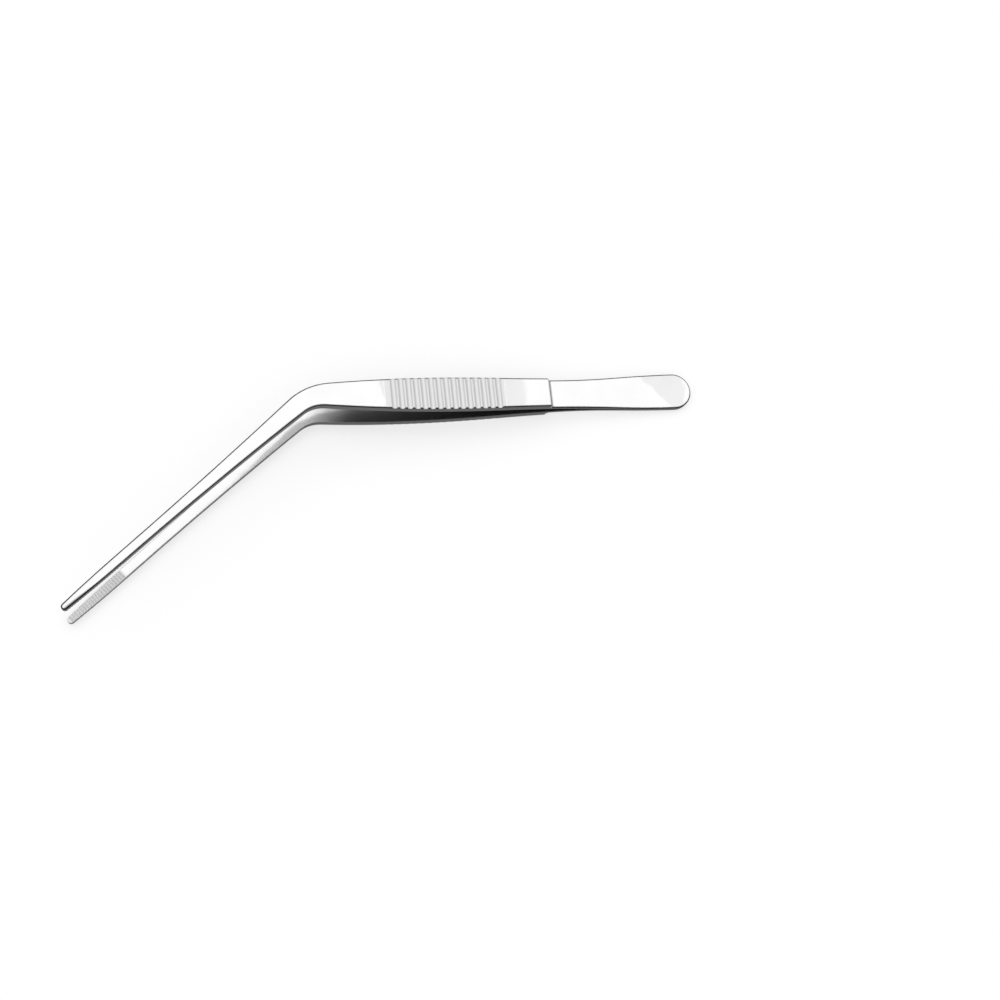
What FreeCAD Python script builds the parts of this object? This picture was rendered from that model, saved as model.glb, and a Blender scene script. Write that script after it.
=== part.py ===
"""Knee-bent spring tweezers: two mirrored forged blades, welded together at the tail.

Each blade runs from a thin round-ended tail leaf over a step to a thick, convex, cross-ridged
grip, turns through the knee and tapers to a round-nosed jaw with cross teeth on its inner face.
The blades are drawn about the plane between them, X towards the tail and the shank running
down to -Y, and are then laid down as the part comes to rest on its lower blade. Sizes in mm.
"""
import FreeCAD, Part
import math
import os

import Sketcher
from FreeCAD import Placement, Rotation, Vector

SIZES = {
    # distances along the handle from the tail end
    "weld_length": 8.0,
    "waist_distance": 33.0,
    "step_distance": 35.8,
    "grip_distance": 60.0,
    "curve_distance": 68.0,
    "knee_distance": 92.3,
    # widths in plan
    "tail_width": 8.6,
    "waist_width": 6.85,
    "grip_width": 7.55,
    "knee_width": 4.7,
    "jaw_width": 2.15,
    # side view
    "leaf_thickness": 0.9,
    "grip_thickness": 2.3,
    "jaw_thickness": 1.8,
    "spring_angle": 4.37,
    "curve_radius": 1040.0,
    "step_foot_radius": 0.9,
    "step_top_radius": 0.4,
    # knee, shank and jaw
    "knee_angle": 39.75,
    "knee_inner_radius": 7.0,
    "knee_outer_radius": 15.0,
    "shank_length": 70.0,
    "jaw_length": 15.5,
    "tip_radius": 0.75,
    "edge_bevel": 0.3,
    # grooves that leave the ridges across the grip
    "groove_distance": 48.5,
    "groove_pitch": 1.78,
    "groove_count": 15,
    "groove_width": 1.35,
    "groove_depth": 0.42,
    # notches that leave the teeth across the jaw
    "notch_pitch": 0.7,
    "notch_count": 21,
    "notch_width": 0.6,
    "notch_depth": 0.3,
}

TOUCHING = 1e-6  # points closer than this are one point
MESH_TOLERANCE = 0.05  # facets that stand in for the curved faces when the rest is worked out
CUTTER_REACH = 0.1  # how far the notch cutter starts outside the jaw's face

doc = FreeCAD.newDocument("KneeBentTweezers")
sheet = doc.addObject("Spreadsheet::Sheet", "Sizes")
for row, (name, value) in enumerate(SIZES.items(), start=1):
    sheet.set(f"A{row}", name)
    sheet.set(f"B{row}", str(value))
    sheet.setAlias(f"B{row}", name)
doc.recompute()


def size(name):
    return float(getattr(sheet, name))


SPRING = math.radians(size("spring_angle"))
KNEE = math.radians(size("knee_angle"))
TIP_X = -size("knee_distance") - size("shank_length") * math.cos(KNEE)
TIP_Y = -size("shank_length") * math.sin(KNEE)


def level_arc(start, end):
    """Arc from a point where it runs along the local X axis to another point."""
    dx, dy = end.x - start.x, end.y - start.y
    radius = (dx * dx + dy * dy) / (2 * abs(dy))
    rise = radius - math.sqrt(radius * radius - dx * dx / 4)
    return Part.Arc(start, Vector(start.x + dx / 2, start.y + math.copysign(rise, dy), 0), end)


def ogee(start, end):
    """S-curve of two equal arcs that runs along the local X axis at both ends."""
    middle = (start + end) / 2
    return [level_arc(start, middle), level_arc(end, middle)]


def arc_about(centre, start, end):
    """Arc about a centre, on the near side between two points."""
    radius = (start - centre).Length
    outward = (start + end) / 2 - centre
    return Part.Arc(start, centre + outward.normalize() * radius, end)


def new_sketch(body, name, plane, offset=Placement()):
    sketch = body.newObject("Sketcher::SketchObject", name)
    origin_plane = next(o for o in body.Origin.OriginFeatures if o.Role == plane)
    sketch.AttachmentSupport = [(origin_plane, "")]
    sketch.MapMode = "FlatFace"
    sketch.AttachmentOffset = offset
    return sketch


def add_loop(sketch, curves):
    """Adds curves to a sketch and joins the ends that meet."""
    ids = sketch.addGeometry(curves, False)
    ends = [(i, pos, sketch.getPoint(i, pos)) for i in ids for pos in (1, 2)]
    for n, (i, pos, point) in enumerate(ends):
        for j, other, place in ends[n + 1:]:
            if i != j and point.distanceToPoint(place) < TOUCHING:
                sketch.addConstraint(Sketcher.Constraint("Coincident", i, pos, j, other))


def drive(sketch, constraint, name, expression):
    """Adds a named sketch constraint and ties it to the sheet."""
    index = sketch.addConstraint(constraint)
    sketch.renameConstraint(index, name)
    sketch.setExpression(f"Constraints.{name}", expression)


def edge_names(feature, wanted):
    return [f"Edge{i}" for i, edge in enumerate(feature.Shape.Edges, start=1) if wanted(edge)]


def add_fillet(body, name, base, wanted, radius):
    fillet = body.newObject("PartDesign::Fillet", name)
    fillet.Base = (base, edge_names(base, wanted))
    fillet.setExpression("Radius", f"Sizes.{radius}")
    doc.recompute()
    return fillet


# Side view of a blade
ALONG = Vector(-math.cos(SPRING), math.sin(SPRING), 0)
OUTWARD = Vector(math.sin(SPRING), math.cos(SPRING), 0)

origin = Vector(0, 0, 0)
weld_end = Vector(-size("weld_length"), 0, 0)
leaf_rise = Vector(0, size("leaf_thickness"), 0)
leaf_radius = (size("step_distance") - size("weld_length")) / math.sin(SPRING)
leaf_centre = weld_end + Vector(0, leaf_radius, 0)
step_inner = leaf_centre - OUTWARD * leaf_radius
step_foot = step_inner + OUTWARD * size("leaf_thickness")
step_top = step_inner + OUTWARD * size("grip_thickness")
curve_inner = step_inner + ALONG * ((size("curve_distance") - size("step_distance")) / math.cos(SPRING))
curve_outer = curve_inner + OUTWARD * size("grip_thickness")
outer_centre = curve_outer - OUTWARD * size("curve_radius")


def outer_height(x):
    """Height of the shank's outer face above the plane between the blades."""
    reach = x - outer_centre.x
    return outer_centre.y + math.sqrt(size("curve_radius") ** 2 - reach * reach)


end_x = TIP_X - size("jaw_width")
end_outer = Vector(end_x, outer_height(end_x), 0)
end_inner = end_outer - Vector(0, size("jaw_thickness"), 0)
chord = end_inner - curve_inner
inner_radius = chord.Length ** 2 / (-2 * chord.dot(OUTWARD))
inner_centre = curve_inner - OUTWARD * inner_radius


def inner_height(x):
    """Height of the shank's inner face above the plane between the blades."""
    reach = x - inner_centre.x
    return inner_centre.y + math.sqrt(inner_radius ** 2 - reach * reach)


body = doc.addObject("PartDesign::Body", "UpperBlade")
body.Label = "upper_blade"

side = new_sketch(body, "SideView", "XZ_Plane")
add_loop(side, [
    Part.LineSegment(origin, weld_end),
    arc_about(leaf_centre, weld_end, step_inner),
    Part.LineSegment(step_inner, curve_inner),
    arc_about(inner_centre, curve_inner, end_inner),
    Part.LineSegment(end_inner, end_outer),
    arc_about(outer_centre, end_outer, curve_outer),
    Part.LineSegment(curve_outer, step_top),
    Part.LineSegment(step_top, step_foot),
    arc_about(leaf_centre, step_foot, weld_end + leaf_rise),
    Part.LineSegment(weld_end + leaf_rise, leaf_rise),
    Part.LineSegment(leaf_rise, origin),
])
for name, kind, curve in (("weld_length", "Distance", 9), ("leaf_thickness", "Distance", 10),
                          ("jaw_thickness", "Distance", 4), ("curve_radius", "Radius", 5)):
    drive(side, Sketcher.Constraint(kind, curve, size(name)), name, f"Sizes.{name}")

slab = body.newObject("PartDesign::Pad", "Slab")
slab.Profile = side
slab.Midplane = True
slab_reach = size("tail_width") - TIP_Y
slab.Length = 2 * slab_reach
doc.recompute()


def crosses_at(point):
    """Test for the edges that run straight across the slab at a point of the side view."""
    near = 1e-4

    def wanted(edge):
        box = edge.BoundBox
        across = box.YLength > slab_reach and box.XLength < TOUCHING
        return across and abs(box.XMin - point.x) < near and abs(box.ZMin - point.y) < near
    return wanted


foot = add_fillet(body, "StepFoot", slab, crosses_at(step_foot), "step_foot_radius")
crest = add_fillet(body, "StepCrest", foot, crosses_at(step_top), "step_top_radius")

# Plan of a blade
knee_corner = Vector(-size("knee_distance"), 0, 0)
shank_frame = Placement(knee_corner, Rotation(Vector(0, 0, 1), 180 + size("knee_angle")))


def plan_side(sign):
    """The long side of the plan, from the tail's round end to the tip's, for sign 1 or -1."""
    tail = Vector(-size("tail_width") / 2, sign * size("tail_width") / 2, 0)
    waist = Vector(-size("waist_distance"), sign * size("waist_width") / 2, 0)
    grip = Vector(-size("grip_distance"), sign * size("grip_width") / 2, 0)
    mitre = sign * size("knee_width") / 2 * math.tan(KNEE / 2)
    knee = Vector(-size("knee_distance") - mitre, sign * size("knee_width") / 2, 0)

    half, tip = size("jaw_width") / 2, size("tip_radius")
    jaw = Vector(size("shank_length") - size("jaw_length"), -sign * half, 0)
    run = size("jaw_length") - tip
    radius = (run * run + half * half - tip * tip) / (2 * (half - tip))
    lean = math.atan2(run, radius - half)
    tip_end = Vector(size("shank_length") - tip + tip * math.sin(lean), -sign * tip * math.cos(lean), 0)
    shank = [level_arc(jaw, shank_frame.inverse().multVec(knee)), level_arc(jaw, tip_end)]
    for curve in shank:
        curve.transform(shank_frame.toMatrix())
    handle = ogee(tail, waist) + ogee(waist, grip) + [level_arc(grip, knee)]
    return handle + shank, tail, shank_frame.multVec(tip_end)


far_side, far_tail, far_tip = plan_side(1)
near_side, near_tail, near_tip = plan_side(-1)
nose = shank_frame.multVec(Vector(size("shank_length"), 0, 0))
margin = size("tail_width")
low = Vector(end_x - margin, -slab_reach - margin, 0)
high = Vector(margin, slab_reach + margin, 0)
frame_corners = [low, Vector(high.x, low.y, 0), high, Vector(low.x, high.y, 0)]
trim_frame = [Part.LineSegment(a, b) for a, b in zip(frame_corners, frame_corners[1:] + frame_corners[:1])]

plan = new_sketch(body, "Plan", "XY_Plane")
round_ends = [Part.Arc(far_tail, origin, near_tail), Part.Arc(far_tip, nose, near_tip)]
add_loop(plan, round_ends + far_side + near_side + trim_frame)
drive(plan, Sketcher.Constraint("Radius", 0, size("tail_width") / 2), "tail_radius", "Sizes.tail_width / 2")
drive(plan, Sketcher.Constraint("Radius", 1, size("tip_radius")), "tip_radius", "Sizes.tip_radius")

trim = body.newObject("PartDesign::Pocket", "Trim")
trim.Profile = plan
trim.Type = "ThroughAll"
trim.Midplane = True
doc.recompute()


def knee_edge(sign):
    """Test for the upright edge of the knee's outer (1) or inner (-1) corner."""
    def wanted(edge):
        box = edge.BoundBox
        upright = box.XLength < TOUCHING and box.YLength < TOUCHING
        at_knee = abs(box.XMin + size("knee_distance")) < size("knee_width") / 2
        return upright and at_knee and box.YMin * sign > 0
    return wanted


inner_bend = add_fillet(body, "KneeInside", trim, knee_edge(-1), "knee_inner_radius")
outer_bend = add_fillet(body, "KneeOutside", inner_bend, knee_edge(1), "knee_outer_radius")


def face_normal(face):
    u0, u1, v0, v1 = face.ParameterRange
    return face.normalAt((u0 + u1) / 2, (v0 + v1) / 2)


def outer_border(shape):
    """Edges between the blade's outer skin, which has no Y in its normals, and its side walls."""
    above_weld = 0.6 * size("leaf_thickness")
    skin = [face for face in shape.Faces if face.CenterOfMass.z > above_weld
            and abs(face_normal(face).y) < 1e-5 and face_normal(face).z > -0.5]
    seen = {}
    for face in skin:
        for edge in face.Edges:
            seen.setdefault(edge.hashCode(), []).append(edge)
    return {code for code, edges in seen.items() if len(edges) == 1}


border = outer_border(outer_bend.Shape)
bevel = body.newObject("PartDesign::Chamfer", "BevelledEdges")
bevel.Base = (outer_bend, edge_names(outer_bend, lambda edge: edge.hashCode() in border))
bevel.setExpression("Size", "Sizes.edge_bevel")
doc.recompute()

# Ridges and teeth
cutter_radius = (size("groove_width") ** 2 / 4 + size("groove_depth") ** 2) / (2 * size("groove_depth"))
grip_frame = Placement(step_top, Rotation(Vector(0, 0, 1), -size("spring_angle")))
groove = new_sketch(body, "GrooveSection", "XZ_Plane", grip_frame)
first_groove = Vector(size("step_distance") - size("groove_distance"),
                      cutter_radius - size("groove_depth"), 0)
groove.addGeometry(Part.Circle(first_groove, Vector(0, 0, 1), cutter_radius), False)
drive(groove, Sketcher.Constraint("Radius", 0, cutter_radius), "cutter_radius",
      "(Sizes.groove_width ^ 2 / 4 + Sizes.groove_depth ^ 2) / (2 * Sizes.groove_depth)")

first_cut = body.newObject("PartDesign::Pocket", "FirstGroove")
first_cut.Profile = groove
first_cut.Midplane = True
first_cut.setExpression("Length", "2 * Sizes.grip_width")
doc.recompute()


def repeat(name, feature, sketch, count, pitch, reverse):
    pattern = body.newObject("PartDesign::LinearPattern", name)
    pattern.Originals = [feature]
    pattern.Direction = (sketch, ["H_Axis"])
    pattern.Reversed = reverse
    pattern.setExpression("Occurrences", f"Sizes.{count}")
    pattern.setExpression("Length", f"Sizes.{pitch} * (Sizes.{count} - 1)")
    body.Tip = pattern
    doc.recompute()
    return pattern


ridges = repeat("Grooves", first_cut, groove, "groove_count", "groove_pitch", True)

jaw_start = shank_frame.multVec(Vector(size("shank_length") - size("jaw_length"), 0, 0))
jaw_rise = math.degrees(math.atan2(inner_height(TIP_X) - inner_height(jaw_start.x), size("jaw_length")))
jaw_frame = Placement(Vector(TIP_X, inner_height(TIP_X), -TIP_Y),
                      Rotation(Vector(0, 1, 0), size("knee_angle")) * Rotation(Vector(0, 0, 1), -jaw_rise))
notch = new_sketch(body, "NotchSection", "XZ_Plane", jaw_frame)
reach = size("notch_width") + size("notch_pitch") / 2
spread = size("notch_width") / 2 * (1 + CUTTER_REACH / size("notch_depth"))
apex = Vector(reach, size("notch_depth"), 0)
left, right = Vector(reach - spread, -CUTTER_REACH, 0), Vector(reach + spread, -CUTTER_REACH, 0)
add_loop(notch, [Part.LineSegment(a, b) for a, b in ((apex, left), (left, right), (right, apex))])
drive(notch, Sketcher.Constraint("DistanceY", -1, 1, 0, 1, size("notch_depth")),
      "notch_depth", "Sizes.notch_depth")

first_notch = body.newObject("PartDesign::Pocket", "FirstNotch")
first_notch.Profile = notch
first_notch.Midplane = True
first_notch.setExpression("Length", "3 * Sizes.jaw_width")
doc.recompute()
teeth = repeat("Notches", first_notch, notch, "notch_count", "notch_pitch", False)

# Second blade, and both laid down as they come to rest
mirrored = doc.addObject("Part::Mirroring", "LowerBlade")
mirrored.Label = "lower_blade"
mirrored.Source = body
mirrored.Normal = Vector(0, 0, 1)
doc.recompute()


def resting_direction(points):
    """Direction that points down when the lower blade stands on its tail, its grip and its shank."""
    turns = 8  # each turn moves the feet at most to their neighbours, and a few settle them
    spans = [(-size("tail_width"), 0), (-size("knee_distance"), -size("waist_distance")),
             (TIP_X, -size("knee_distance"))]
    groups = [[p for p in points if near <= p.x <= far] for near, far in spans]
    down = Vector(0, 0, -1)
    for _ in range(turns):
        tail_foot, grip_foot, shank_foot = [max(group, key=down.dot) for group in groups]
        down = (grip_foot - tail_foot).cross(shank_foot - tail_foot).normalize()
        down = -down if down.z > 0 else down
    return down


down = resting_direction(mirrored.Shape.tessellate(MESH_TOLERANCE)[0])
rest = Placement(Vector(0, 0, 0), Rotation(down, Vector(0, 0, -1)))
corners = [rest.multVec(p) for blade in (body, mirrored) for p in blade.Shape.tessellate(MESH_TOLERANCE)[0]]
xs, ys, zs = zip(*corners)
rest.Base = Vector(-(min(xs) + max(xs)) / 2, -(min(ys) + max(ys)) / 2, -min(zs))
body.Placement = rest
mirrored.Base = rest.Base
mirrored.Normal = rest.Rotation.multVec(Vector(0, 0, 1))
doc.recompute()

for item in doc.Objects:
    if "Invalid" in item.State or "Error" in item.State:
        raise RuntimeError(f"{item.Label} did not build: {item.State}")

os.makedirs("parts", exist_ok=True)
for item in (body, mirrored):
    shape = item.Shape
    if shape.isNull() or not shape.isValid() or len(shape.Solids) != 1:
        raise RuntimeError(f"{item.Label} is not one valid solid")
    shape.exportStep(f"parts/{item.Label}.step")
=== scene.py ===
"""Looks for the knee-bent tweezers: worked steel on both blades with painted shade, painted reflections and
painted light in its colour, a pale table and soft studio light.
"""
from math import pi, radians

import bpy
from mathutils import Euler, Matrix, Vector

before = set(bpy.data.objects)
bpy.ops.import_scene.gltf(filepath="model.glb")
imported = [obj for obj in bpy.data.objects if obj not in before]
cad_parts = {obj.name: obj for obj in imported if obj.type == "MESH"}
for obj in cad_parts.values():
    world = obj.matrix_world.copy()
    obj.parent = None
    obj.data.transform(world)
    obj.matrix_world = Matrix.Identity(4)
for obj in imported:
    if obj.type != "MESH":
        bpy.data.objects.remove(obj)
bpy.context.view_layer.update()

bl_info = {
    "name": "Knee-Bent Tweezers",
    "version": (1, 0, 0),
    "blender": (4, 5, 0),
    "location": "View3D > Sidebar > Tweezers",
    "description": "Polished and brushed steel for a pair of knee-bent tweezers, with its studio stage",
    "category": "Object",
}

# The blades are drawn about the plane between them and then tipped over to lie at rest.
# These undo that, so that a pattern follows the handle's length, width and thickness.
REST_TURN = Euler((radians(3.36408), radians(4.25488), radians(0.125004)))
TAIL_END = Vector((0.073287, 0.0207258, 0.000954846))

# directions on the blades before they are tipped over
TAILWARD = Vector((1.0, 0.0, 0.0))
ACROSS = Vector((0.0, 1.0, 0.0))
UPWARD = Vector((0.0, 0.0, 1.0))

# stretches along the handle, from the tail end at 0 towards the knee, and the fades at their ends
RIDGES, RIDGE_FADE = (-0.0750, -0.0471), 0.0005
# HOLLOW marks the inside of the handle, which is darkened as painted shade
HOLLOW, HOLLOW_FADE = (-0.080, 0.0), 0.014
RISER, RISER_FADE = (-0.0368, -0.0345), 0.0003

# grey bands painted as reflections on the outer faces: start, end, fade, and how far the start leans across
# the blade
REFLECTION_BANDS = (
    (-0.0752, -0.0742, 0.0008, 0.0),
    (-0.0485, -0.0431, 0.0012, 0.35),
    (-0.0084, -0.0026, 0.0012, 0.8),
)
BAND_DRIFT = 0.006  # how far the cloudy polish moves the ends of the painted reflection bands

# the shank, seen along itself from the knee's corner, and the places on it measured from the tip
KNEE_CORNER = Vector((-0.0923, 0.0, 0.0))
KNEE_ANGLE = radians(39.75)
KNEE_FADE = 0.002
SHANK = 0.070
TEETH, TOOTH_FADE = 0.0155, 0.0001
TOOTH_PITCH = 0.0007
FIRST_NOTCH = 0.00095
NOTCH_WAVE = (0.2, 1.0)  # the part of the cosine wave over the teeth that counts as a notch, which is darkened as painted shade
BACK_ROUNDING = 0.009
JAW_HALF_WIDTH = 0.00107
# FLANK marks a strip of painted shade along one side of each jaw's outer face near the tip, standing in for
# the shade on the jaw's round back
FLANK_LENGTH = 0.015
FLANK_WIDENING = 0.9  # how far the painted shade strip grows towards the tip, in half widths of the jaw
FLANK_EDGE = (0.9, 1.3)

# how far a face turns towards a direction where its zone starts, and where the zone is full
FACE_TURN = (0.3, 0.6)
WALL_TURN = (0.4, 0.2)
BORDER_TURN = (0.15, 0.4)
BEVEL_TURN = (0.97, 0.82)

# patterns of the finish, in periods to the metre
CLOUDS, CLOUD_DETAIL = 160.0, 4.0
BELT_LINES, LINE_DETAIL = (60.0, 1800.0, 1800.0), 3.0
CLOUD_TONE = 0.9
RISER_EDGES = 0.4  # how much of the painted edge shade is left at the riser of the step
BEVEL_SAMPLES = 4

TABLE_ROUGHNESS = 0.9
SENSOR_WIDTH = 36.0
NEAREST_SEEN = 0.01

# the studio room, by the height of a direction in it: 0 at the horizon and 1 overhead
HORIZON_FADE = (0.12, 0.2)
PANEL_FOOT = (0.14, 0.25)
PANEL_TOP = (0.4, 0.7)
CEILING_EDGE = (0.5, 0.8)
WALL_PANELS = 6.0


class SteelSettings(bpy.types.PropertyGroup):
    colour: bpy.props.FloatVectorProperty(
        name="Steel Colour", description="Reflectance of the bare steel", subtype="COLOR",
        size=3, min=0.0, max=1.0, default=(0.72, 0.72, 0.72))
    glancing_tint: bpy.props.FloatProperty(
        name="Glancing Tint", description="Brightness of what the steel reflects at a glancing angle",
        subtype="FACTOR", min=0.0, max=1.0, default=0.5)
    polish: bpy.props.FloatProperty(
        name="Outer Roughness", description="Roughness of the polished outer faces",
        subtype="FACTOR", min=0.0, max=1.0, default=0.1)
    unevenness: bpy.props.FloatProperty(
        name="Unevenness", description="Roughness that the hand polish adds in cloudy patches",
        subtype="FACTOR", min=0.0, max=1.0, default=0.08)
    satin: bpy.props.FloatProperty(
        name="Satin", description="Roughness added on edges and inside the handle",
        subtype="FACTOR", min=0.0, max=1.0, default=0.12)
    matt: bpy.props.FloatProperty(
        name="Matt", description="Roughness added on the ridges and the teeth",
        subtype="FACTOR", min=0.0, max=1.0, default=0.46)
    # painted light: the ridges and teeth are brightened above the bare steel to wash out the shade on their
    # steep flanks
    worked_light_tone: bpy.props.FloatProperty(
        name="Matt Tone", description="Brightness of the ridges and the teeth against the faces",
        min=0.0, max=1.38, default=1.36)
    # painted shade: the bottoms of the notches between the teeth are darkened in the colour
    notch_shade_tone: bpy.props.FloatProperty(
        name="Notch Tone", description="Brightness of the bottoms of the notches between the teeth",
        subtype="FACTOR", min=0.0, max=1.0, default=0.72)
    back_rise: bpy.props.FloatProperty(
        name="Back Rise", description="How far the round back of a jaw stands over its edges",
        subtype="DISTANCE", unit="LENGTH", min=0.0, max=0.001, default=0.0005, precision=5)
    # painted shade: the edge bevels and side walls are darkened in the colour, standing in for the dark
    # reflections and shade on them
    edge_shade_tone: bpy.props.FloatProperty(
        name="Edge Tone", description="Brightness of the painted shade on the edges against the faces",
        subtype="FACTOR", min=0.0, max=1.0, default=0.06)
    wall_shade_share: bpy.props.FloatProperty(
        name="Wall Share", description="How much of the edge tone the side walls take on",
        subtype="FACTOR", min=0.0, max=1.0, default=0.79)
    # painted shade: the inside of the handle, under the other blade, is darkened in the colour
    hollow_shade_tone: bpy.props.FloatProperty(
        name="Hollow Tone", description="Brightness of the painted shade inside the handle",
        subtype="FACTOR", min=0.0, max=1.0, default=0.26)
    # painted shade: a strip along one side of each jaw's tip is darkened in the colour, standing in for the
    # shade on its round back
    jaw_strip_shade_tone: bpy.props.FloatProperty(
        name="Flank Tone", description="Brightness of the painted shade strip beside each jaw's tip",
        subtype="FACTOR", min=0.0, max=1.0, default=0.3)
    # painted reflection: grey bands across the outer faces of the blades
    reflection_band_tone: bpy.props.FloatProperty(
        name="Band Tone", description="Brightness of the grey bands painted as reflections on the outer faces",
        subtype="FACTOR", min=0.0, max=1.0, default=0.88)
    grain: bpy.props.FloatProperty(
        name="Grain Depth", description="Depth of the fine lines left by the finishing belt",
        subtype="DISTANCE", unit="LENGTH", min=0.0, max=0.0001, default=0.000006, precision=6)
    waves: bpy.props.FloatProperty(
        name="Wave Height", description="Height of the soft waves that hand polishing leaves",
        subtype="DISTANCE", unit="LENGTH", min=0.0, max=0.001, default=0.00006, precision=5)
    edge_round: bpy.props.FloatProperty(
        name="Edge Softness", description="Radius to which the polishing wheel softens the edges",
        subtype="DISTANCE", unit="LENGTH", min=0.0, max=0.001, default=0.00025, precision=5)


class StageSettings(bpy.types.PropertyGroup):
    table_colour: bpy.props.FloatVectorProperty(
        name="Table Colour", description="Colour of the table top", subtype="COLOR",
        size=3, min=0.0, max=1.0, default=(0.93, 0.93, 0.93))
    shadow_lift: bpy.props.FloatProperty(
        name="Shadow Lift", description="Share by which shadows on the table are lightened",
        subtype="FACTOR", min=0.0, max=1.0, default=0.6)
    table_size: bpy.props.FloatProperty(
        name="Table Size", description="Length of each side of the table top",
        subtype="DISTANCE", unit="LENGTH", min=0.5, default=40.0)
    ceiling_light: bpy.props.FloatProperty(
        name="Ceiling Light", description="Brightness of the white ceiling over the table",
        min=0.0, max=4.0, default=1.45)
    wall_light: bpy.props.FloatProperty(
        name="Wall Light", description="Brightness of the darker walls under the ceiling",
        min=0.0, max=1.0, default=0.65)
    panel_light: bpy.props.FloatProperty(
        name="Panel Light", description="How much lighter and darker in turn the panels on the walls are",
        min=0.0, max=1.0, default=0.25)
    haze_light: bpy.props.FloatProperty(
        name="Backdrop Light", description="Brightness of the pale backdrop at the horizon",
        min=0.0, max=1.0, default=1.0)
    camera_place: bpy.props.FloatVectorProperty(
        name="Camera Place", description="Where the camera stands", subtype="TRANSLATION",
        unit="LENGTH", size=3, default=(-0.0273, -0.09717, 0.30396))
    camera_turn: bpy.props.FloatVectorProperty(
        name="Camera Turn", description="Rotation of the camera", subtype="EULER", unit="ROTATION",
        size=3, default=(radians(18.011), radians(-7.4808), radians(-6.7586)))
    camera_lens: bpy.props.FloatProperty(
        name="Camera Lens", description="Focal length on a 36 mm sensor in millimetres",
        min=10.0, max=300.0, default=50.0)


class NodeBench:
    """Adds nodes to a node tree and links them; a value is a pair of a node and its output."""

    def __init__(self, tree):
        self.tree = tree

    def add(self, kind, **values):
        node = self.tree.nodes.new(kind)
        for key, value in values.items():
            setattr(node, key, value)
        return node

    def link(self, source, output, target, target_input):
        self.tree.links.new(source.outputs[output], target.inputs[target_input])

    def math(self, operation, *operands):
        """What a Math node gives; each operand is a number or a value."""
        node = self.add("ShaderNodeMath", operation=operation)
        for index, operand in enumerate(operands):
            if isinstance(operand, tuple):
                self.link(*operand, node, index)
            else:
                node.inputs[index].default_value = operand
        return node, 0

    def ramp(self, value, start, end, low=0.0, high=1.0):
        """low before start and high after end, with a soft change between; start may be the larger."""
        node = self.add("ShaderNodeMapRange", interpolation_type="SMOOTHSTEP")
        for socket, level in (("From Min", start), ("From Max", end), ("To Min", low), ("To Max", high)):
            node.inputs[socket].default_value = level
        self.link(*value, node, "Value")
        return node, 0

    def tone(self, mask, level):
        """1 where a mask is 0 and level where it is 1."""
        node = self.add("ShaderNodeMapRange")
        node.inputs["To Min"].default_value = 1.0
        node.inputs["To Max"].default_value = level
        self.link(*mask, node, "Value")
        return node, 0

    def stretch(self, value, start, end, fade):
        """1 between two places along an axis, with soft ends."""
        return self.product(self.ramp(value, start - fade, start), self.ramp(value, end + fade, end))

    def product(self, *values):
        """All the values multiplied together."""
        total = values[0]
        for value in values[1:]:
            total = self.math("MULTIPLY", total, value)
        return total

    def placed(self, vector, location, rotation):
        """Coordinates as seen from a place and turn of their own, and their axes."""
        node = self.add("ShaderNodeMapping", vector_type="TEXTURE")
        node.inputs["Location"].default_value = location
        node.inputs["Rotation"].default_value = rotation
        self.link(*vector, node, "Vector")
        axes = self.add("ShaderNodeSeparateXYZ")
        self.link(node, "Vector", axes, "Vector")
        return (node, "Vector"), axes

    def noise(self, vector, scale, detail):
        node = self.add("ShaderNodeTexNoise")
        node.inputs["Scale"].default_value = scale
        node.inputs["Detail"].default_value = detail
        self.link(*vector, node, "Vector")
        return node, "Fac"

    def facing(self, direction, normal):
        """How far a normal turns towards a direction on the blades: 1 along it, -1 against it."""
        turned = direction.copy()
        turned.rotate(REST_TURN)
        node = self.add("ShaderNodeVectorMath", operation="DOT_PRODUCT")
        self.link(*normal, node, 0)
        node.inputs[1].default_value = turned
        return node, "Value"


def new_material(name):
    """A material with its node bench and its shader."""
    material = bpy.data.materials.new(name)
    material.use_nodes = True
    return material, NodeBench(material.node_tree), material.node_tree.nodes["Principled BSDF"]


class BladePlace:
    """Where a point lies on a blade, in metres and in half widths of the jaw."""

    def __init__(self, bench):
        here = (bench.add("ShaderNodeTexCoord"), "Object")
        self.handle, handle_axes = bench.placed(here, TAIL_END, REST_TURN)
        self.shank, shank_axes = bench.placed(self.handle, KNEE_CORNER, (0.0, 0.0, KNEE_ANGLE))
        self.along = (handle_axes, "X")
        self.sideways = (handle_axes, "Y")
        self.from_tip = bench.math("ADD", (shank_axes, "X"), SHANK)
        self.off_middle = bench.math("DIVIDE", (shank_axes, "Y"), JAW_HALF_WIDTH)


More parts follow.
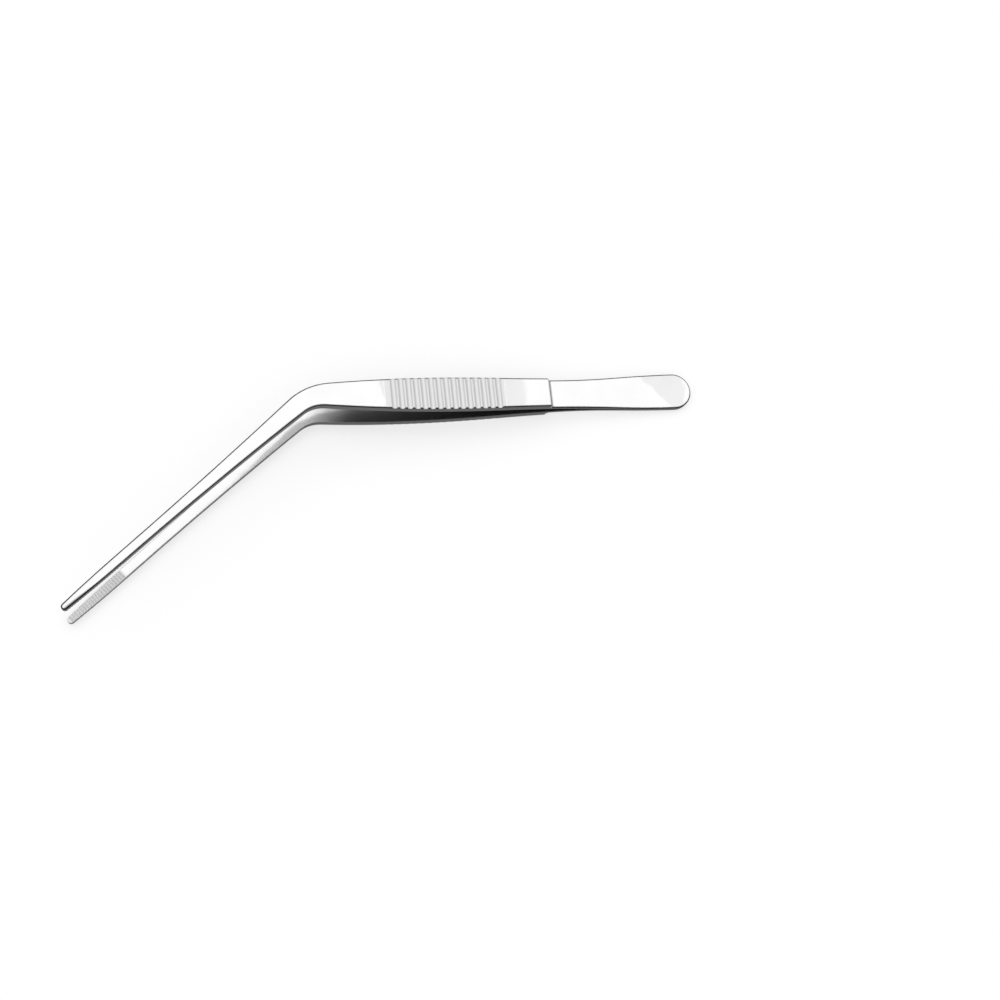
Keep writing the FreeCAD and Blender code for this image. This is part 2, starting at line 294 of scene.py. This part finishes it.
class BladeZones:
    """Masks from 0 to 1 for the faces, edges and worked patches of one blade, and for where shade is
    painted: edges, side walls, the hollow, the notches and a strip by the jaw's tip.
    """

    def __init__(self, bench, place, rounded, side, wall_shade_share):
        surface = (bench.add("ShaderNodeNewGeometry"), "Normal")
        turn = bench.facing(side * UPWARD, surface)
        self.outer = bench.ramp(turn, *FACE_TURN)
        inner = bench.ramp(turn, *[-level for level in FACE_TURN])
        walls = bench.ramp(bench.math("ABSOLUTE", turn), *WALL_TURN)
        # painted shade in the hollow of the handle
        self.hollow = bench.product(inner, bench.stretch(place.along, *HOLLOW, HOLLOW_FADE))

        border = bench.ramp(bench.math("ABSOLUTE", bench.facing(ACROSS, rounded)), *BORDER_TURN)
        ridges = bench.product(
            bench.stretch(place.along, *RIDGES, RIDGE_FADE), self.outer, bench.tone(border, 0.0))
        teeth = bench.product(bench.ramp(place.from_tip, TEETH + TOOTH_FADE, TEETH), inner)
        self.worked = bench.math("MAXIMUM", ridges, teeth)
        turns = bench.math(
            "MULTIPLY_ADD", place.from_tip, 2 * pi / TOOTH_PITCH, -2 * pi * FIRST_NOTCH / TOOTH_PITCH)
        # painted shade in the notches between the teeth
        self.notches = bench.product(teeth, bench.ramp(bench.math("COSINE", turns), *NOTCH_WAVE))

        softened = bench.math("ABSOLUTE", bench.facing(side * UPWARD, rounded))
        bevels = bench.product(
            bench.ramp(softened, *BEVEL_TURN), bench.tone(walls, 0.0), bench.tone(self.worked, 0.0))
        riser = bench.product(
            bench.stretch(place.along, *RISER, RISER_FADE),
            bench.ramp(bench.facing(TAILWARD, surface), *FACE_TURN))
        # painted shade: side walls and edge bevels are darkened, standing in for their dark reflections
        dark = bench.math("MAXIMUM", bench.math("MULTIPLY", walls, wall_shade_share), bevels)
        self.edges = bench.product(dark, bench.tone(riser, RISER_EDGES))

        # painted shade: a strip along one side of the jaw's outer face, widening towards the tip
        widening = bench.math("MULTIPLY", bench.ramp(place.from_tip, FLANK_LENGTH, 0.0), FLANK_WIDENING)
        self.flank = bench.product(
            bench.ramp(bench.math("SUBTRACT", widening, place.off_middle), *FLANK_EDGE),
            bench.ramp(place.from_tip, FLANK_LENGTH, FLANK_LENGTH / 2), self.outer)


def steel_tones(bench, settings, place, zones, cloud):
    """Brightness of the steel at each place against the bare outer faces: painted shade on edges, walls, the
    hollow, the notches and the jaw strip, painted reflection bands, and painted light on the ridges and
    teeth.
    """
    tones = [bench.tone(mask, level) for mask, level in (
        (zones.edges, settings.edge_shade_tone), (zones.hollow, settings.hollow_shade_tone),
        (zones.notches, settings.notch_shade_tone), (zones.worked, settings.worked_light_tone),
        (zones.flank, settings.jaw_strip_shade_tone), (cloud, CLOUD_TONE))]
    sway = bench.math("SUBTRACT", cloud, 0.5)
    drift = bench.math("MULTIPLY_ADD", sway, BAND_DRIFT, place.along)
    # painted reflection: grey bands across the outer faces
    for start, end, fade, lean in REFLECTION_BANDS:
        slant = bench.math("MULTIPLY_ADD", place.sideways, lean, drift)
        reflection_band = bench.product(
            bench.ramp(slant, start - fade, start), bench.ramp(drift, end + fade, end), zones.outer)
        tones.append(bench.tone(reflection_band, settings.reflection_band_tone))
    return bench.product(*tones)


def steel_relief(bench, settings, place, zones, cloud, rounded):
    """The normal with softened edges, fine belt lines, polishing waves and round jaw backs."""
    lengthwise = bench.add("ShaderNodeMix", data_type="VECTOR")
    in_shank = bench.ramp(place.from_tip, SHANK + KNEE_FADE, SHANK - KNEE_FADE)
    for value, socket in ((in_shank, "Factor"), (place.handle, "A"), (place.shank, "B")):
        bench.link(*value, lengthwise, socket)
    drawn = bench.add("ShaderNodeMapping")
    drawn.inputs["Scale"].default_value = BELT_LINES
    bench.link(lengthwise, "Result", drawn, "Vector")
    lines = bench.noise((drawn, "Vector"), 1.0, LINE_DETAIL)
    waves = bench.math("MULTIPLY", cloud, settings.waves)
    relief = bench.math("MULTIPLY_ADD", lines, settings.grain, waves)
    bump = bench.add("ShaderNodeBump")
    bump.inputs["Distance"].default_value = 1.0
    bench.link(*relief, bump, "Height")
    bench.link(*rounded, bump, "Normal")

    dome = bench.math("MULTIPLY", place.off_middle, place.off_middle)
    near_tip = bench.ramp(place.from_tip, BACK_ROUNDING, 0.0)
    crown = bench.add("ShaderNodeBump", invert=True)
    crown.inputs["Distance"].default_value = settings.back_rise
    bench.link(*bench.product(dome, near_tip, zones.outer), crown, "Height")
    bench.link(bump, "Normal", crown, "Normal")
    return crown, "Normal"


def blade_steel(name, settings, side):
    """Steel for one blade: side is 1 for the upper blade and -1 for the lower one."""
    material, bench, shader = new_material(name)
    shader.inputs["Metallic"].default_value = 1.0
    shader.inputs["Specular Tint"].default_value = (*[settings.glancing_tint] * 3, 1.0)
    softening = bench.add("ShaderNodeBevel", samples=BEVEL_SAMPLES)
    softening.inputs["Radius"].default_value = settings.edge_round
    rounded = (softening, "Normal")
    place = BladePlace(bench)
    zones = BladeZones(bench, place, rounded, side, settings.wall_shade_share)
    cloud = bench.noise(place.handle, CLOUDS, CLOUD_DETAIL)

    colour = bench.add("ShaderNodeMix", data_type="RGBA")
    colour.inputs["A"].default_value = (0.0, 0.0, 0.0, 1.0)
    colour.inputs["B"].default_value = (*settings.colour, 1.0)
    bench.link(*steel_tones(bench, settings, place, zones, cloud), colour, "Factor")
    bench.link(colour, "Result", shader, "Base Color")

    roughness = bench.math("MULTIPLY_ADD", cloud, settings.unevenness, settings.polish)
    for mask, more in ((zones.worked, settings.matt), (zones.hollow, settings.satin),
                       (zones.edges, settings.satin)):
        roughness = bench.math("MULTIPLY_ADD", mask, more, roughness)
    bench.link(*roughness, shader, "Roughness")
    bench.link(*steel_relief(bench, settings, place, zones, cloud, rounded), shader, "Normal")
    return material


class TWEEZERS_OT_finish_blades(bpy.types.Operator):
    """Gives both blades their polished steel, with painted shade, painted reflections and painted light in
    its colour
    """
    bl_idname = "tweezers.finish_blades"
    bl_label = "Finish Blades"
    bl_options = {"REGISTER", "UNDO"}

    def execute(self, context):
        settings = context.scene.tweezers_steel
        for node, side in (("upper_blade", 1), ("lower_blade", -1)):
            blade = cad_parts[node]
            steel = blade_steel(f"{node}_steel", settings, side)
            if not blade.material_slots:
                raise RuntimeError(f"{node} has no material slot")
            for slot in blade.material_slots:
                slot.material = steel
        return {"FINISHED"}


def table_top(colour, lift):
    """A matt white table whose shadows are lifted by a share, for the eye and in reflections alike."""
    material, bench, shader = new_material("table_top")
    shader.inputs["Base Color"].default_value = (*colour, 1.0)
    shader.inputs["Roughness"].default_value = TABLE_ROUGHNESS
    shader.inputs["Specular IOR Level"].default_value = 0.0
    path = bench.add("ShaderNodeLightPath")
    seen = bench.math("MAXIMUM", (path, "Is Camera Ray"), (path, "Is Glossy Ray"))
    seen = bench.math("MAXIMUM", seen, (path, "Is Transmission Ray"))
    white = bench.add("ShaderNodeEmission")
    mix = bench.add("ShaderNodeMixShader")
    bench.link(*bench.math("MULTIPLY", seen, lift), mix, "Fac")
    bench.link(shader, "BSDF", mix, 1)
    bench.link(white, "Emission", mix, 2)
    bench.link(mix, "Shader", material.node_tree.nodes["Material Output"], "Surface")
    return material


def studio_room(stage):
    """A white ceiling over darker walls with soft light panels, and a pale backdrop at the horizon."""
    room = bpy.data.worlds.new("studio_room")
    room.use_nodes = True
    bench = NodeBench(room.node_tree)
    axes = bench.add("ShaderNodeSeparateXYZ")
    bench.link(bench.add("ShaderNodeTexCoord"), "Generated", axes, "Vector")
    height = (axes, "Z")
    around = bench.math("ARCTAN2", (axes, "Y"), (axes, "X"))
    panels = bench.product(
        bench.math("SINE", bench.math("MULTIPLY", around, WALL_PANELS)),
        bench.ramp(height, *PANEL_FOOT, 0.0, stage.panel_light), bench.ramp(height, *PANEL_TOP, 1.0, 0.0))
    walls = bench.ramp(height, *CEILING_EDGE, stage.wall_light, stage.ceiling_light)
    haze = bench.ramp(height, *HORIZON_FADE, stage.haze_light - stage.wall_light, 0.0)
    background = room.node_tree.nodes["Background"]
    background.inputs["Color"].default_value = (1.0, 1.0, 1.0, 1.0)
    bench.link(*bench.math("ADD", bench.math("ADD", walls, panels), haze), background, "Strength")
    return room


class TWEEZERS_OT_set_stage(bpy.types.Operator):
    """Sets up the pale table, the light of the studio room and the camera"""
    bl_idname = "tweezers.set_stage"
    bl_label = "Set Stage"
    bl_options = {"REGISTER", "UNDO"}

    def execute(self, context):
        scene = context.scene
        stage = scene.tweezers_stage
        bpy.ops.object.select_all(action="DESELECT")

        bpy.ops.mesh.primitive_plane_add(size=stage.table_size, location=(0, 0, 0))
        table = context.object
        table.name = "table"
        table.data.materials.append(table_top(stage.table_colour, stage.shadow_lift))

        scene.world = studio_room(stage)

        bpy.ops.object.camera_add(location=stage.camera_place, rotation=stage.camera_turn)
        camera = context.object
        camera.name = "studio_camera"
        camera.data.sensor_width = SENSOR_WIDTH
        camera.data.lens = stage.camera_lens
        camera.data.clip_start = NEAREST_SEEN
        scene.camera = camera
        scene.view_settings.view_transform = "Standard"
        return {"FINISHED"}


class TWEEZERS_PT_panel(bpy.types.Panel):
    bl_label = "Knee-Bent Tweezers"
    bl_idname = "TWEEZERS_PT_panel"
    bl_space_type = "VIEW_3D"
    bl_region_type = "UI"
    bl_category = "Tweezers"

    def draw(self, context):
        layout = self.layout
        for settings, operator in ((context.scene.tweezers_steel, TWEEZERS_OT_finish_blades),
                                   (context.scene.tweezers_stage, TWEEZERS_OT_set_stage)):
            box = layout.box()
            for name in settings.__annotations__:
                box.prop(settings, name)
            box.operator(operator.bl_idname)


CLASSES = (SteelSettings, StageSettings, TWEEZERS_OT_finish_blades, TWEEZERS_OT_set_stage, TWEEZERS_PT_panel)


def register():
    for cls in CLASSES:
        bpy.utils.register_class(cls)
    bpy.types.Scene.tweezers_steel = bpy.props.PointerProperty(type=SteelSettings)
    bpy.types.Scene.tweezers_stage = bpy.props.PointerProperty(type=StageSettings)


def unregister():
    del bpy.types.Scene.tweezers_stage
    del bpy.types.Scene.tweezers_steel
    for cls in reversed(CLASSES):
        bpy.utils.unregister_class(cls)


def main():
    register()
    bpy.ops.tweezers.finish_blades()
    bpy.ops.tweezers.set_stage()


if __name__ == "__main__":
    main()
